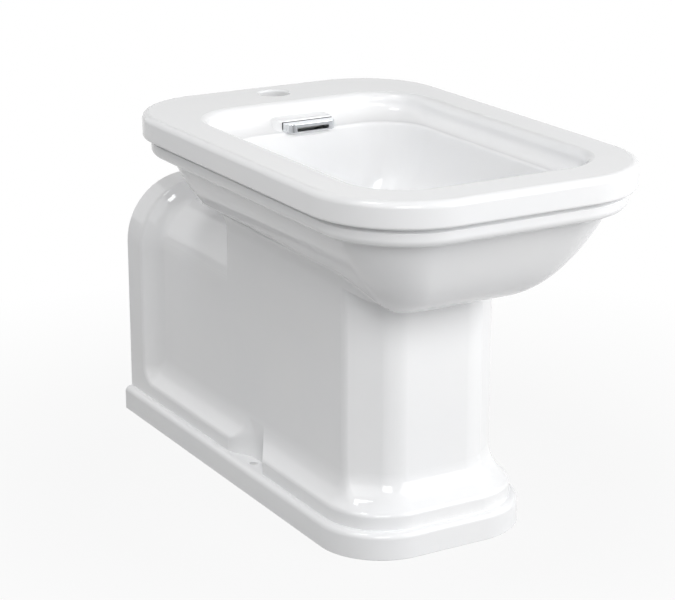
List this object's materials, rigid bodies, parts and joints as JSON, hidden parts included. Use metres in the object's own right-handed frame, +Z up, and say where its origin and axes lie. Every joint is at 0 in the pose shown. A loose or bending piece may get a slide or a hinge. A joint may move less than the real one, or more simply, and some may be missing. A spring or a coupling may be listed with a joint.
{
  "type": "floor-standing bidet",
  "caption": "Floor-standing bidet in glazed china with a stepped rim and plinth, tap hole, slotted chrome overflow, push-to-close plug and bottle trap.",
  "frame": {"origin": "on the floor, in the middle of the overall length and width", "axes": "+X to the bidet's left as it faces the user, -Y its front, +Y the wall, +Z up"},
  "size_m": [0.37, 0.696, 0.425],
  "materials": {
    "china": "clear glossy glaze over white vitreous china",
    "chrome": "polished chrome plate",
    "brass": "machined brass",
    "rubber": "matt black rubber",
    "plastic": "white moulded polypropylene",
    "spring_steel": "drawn stainless wire"
  },
  "bodies": {
    "fixture": {"ceramic_rim": "china", "ceramic_bowl": "china", "ceramic_foot": "china", "overflow_cover": "chrome", "overflow_gasket": "rubber", "overflow_sleeve": "plastic", "waste_flange": "chrome", "flange_seal": "rubber", "lower_seal": "rubber", "backing_washer": "plastic", "back_nut": "brass", "cartridge_body": "brass", "cartridge_spring": "spring_steel", "trap_inlet_nut": "plastic", "trap_inlet_washer": "rubber", "trap_tube": "plastic", "trap_head": "plastic", "trap_top_nut": "plastic", "trap_top_washer": "rubber", "trap_bottle": "plastic", "bottle_seal": "rubber", "outlet_nut": "plastic", "outlet_washer": "rubber", "outlet_pipe": "plastic"},
    "plug": {"plug_cap": "chrome", "plug_seal": "rubber", "plug_stem": "brass"}
  },
  "joints": [
    {"name": "plug_push", "type": "slide", "parent": "fixture", "child": "plug", "axis": [0, 0, -1], "range_m": [0, 0.008], "deforming": ["cartridge_spring"]}
  ]
}
